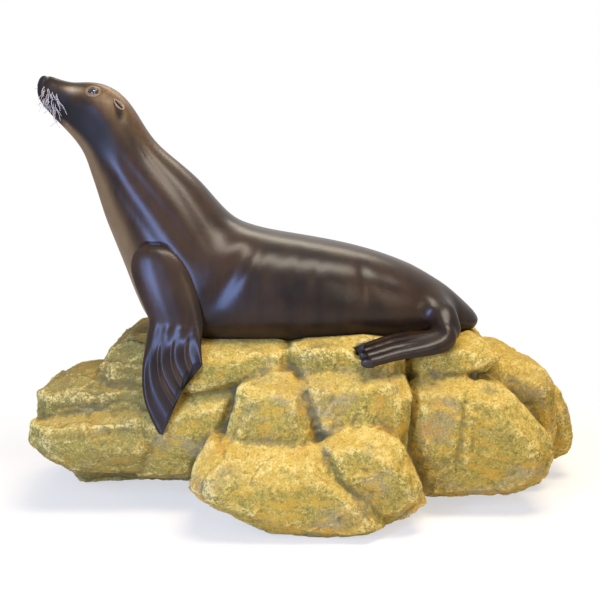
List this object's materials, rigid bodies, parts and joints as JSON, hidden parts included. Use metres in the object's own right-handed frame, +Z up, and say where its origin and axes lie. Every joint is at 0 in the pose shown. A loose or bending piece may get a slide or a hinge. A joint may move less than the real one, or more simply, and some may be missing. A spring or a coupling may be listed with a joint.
{
  "type": "sea lion statue",
  "caption": "Life-size sea lion statue in painted casting resin: the animal lies with raised head on a base of moulded boulders.",
  "frame": {"origin": "middle of the footprint's bounding box, on the floor", "axes": "+X from the head to the tail end, +Y from the animal's left flank to its right flank, +Z up"},
  "size_m": [1.9332, 0.9264, 1.482],
  "materials": {
    "seal_paint": "satin dark brown paint on glass-fibre resin",
    "rock_paint": "matt mottled ochre paint on glass-fibre resin",
    "eye_glass": "polished dark glass",
    "bristle": "cream nylon bristle"
  },
  "bodies": {
    "root": {"rock_base": "rock_paint", "sea_lion_body": "seal_paint", "front_flipper_left": "seal_paint", "front_flipper_right": "seal_paint", "eye_left": "eye_glass", "eye_right": "eye_glass", "whisker_left_01": "bristle", "whisker_left_02": "bristle", "whisker_left_03": "bristle", "whisker_left_04": "bristle", "whisker_left_05": "bristle", "whisker_left_06": "bristle", "whisker_left_07": "bristle", "whisker_left_08": "bristle", "whisker_left_09": "bristle", "whisker_left_10": "bristle", "whisker_left_11": "bristle", "whisker_left_12": "bristle", "whisker_left_13": "bristle", "whisker_left_14": "bristle", "whisker_left_15": "bristle", "whisker_left_16": "bristle", "whisker_right_01": "bristle", "whisker_right_02": "bristle", "whisker_right_03": "bristle", "whisker_right_04": "bristle", "whisker_right_05": "bristle", "whisker_right_06": "bristle", "whisker_right_07": "bristle", "whisker_right_08": "bristle", "whisker_right_09": "bristle", "whisker_right_10": "bristle", "whisker_right_11": "bristle", "whisker_right_12": "bristle", "whisker_right_13": "bristle", "whisker_right_14": "bristle", "whisker_right_15": "bristle", "whisker_right_16": "bristle"}
  },
  "joints": []
}
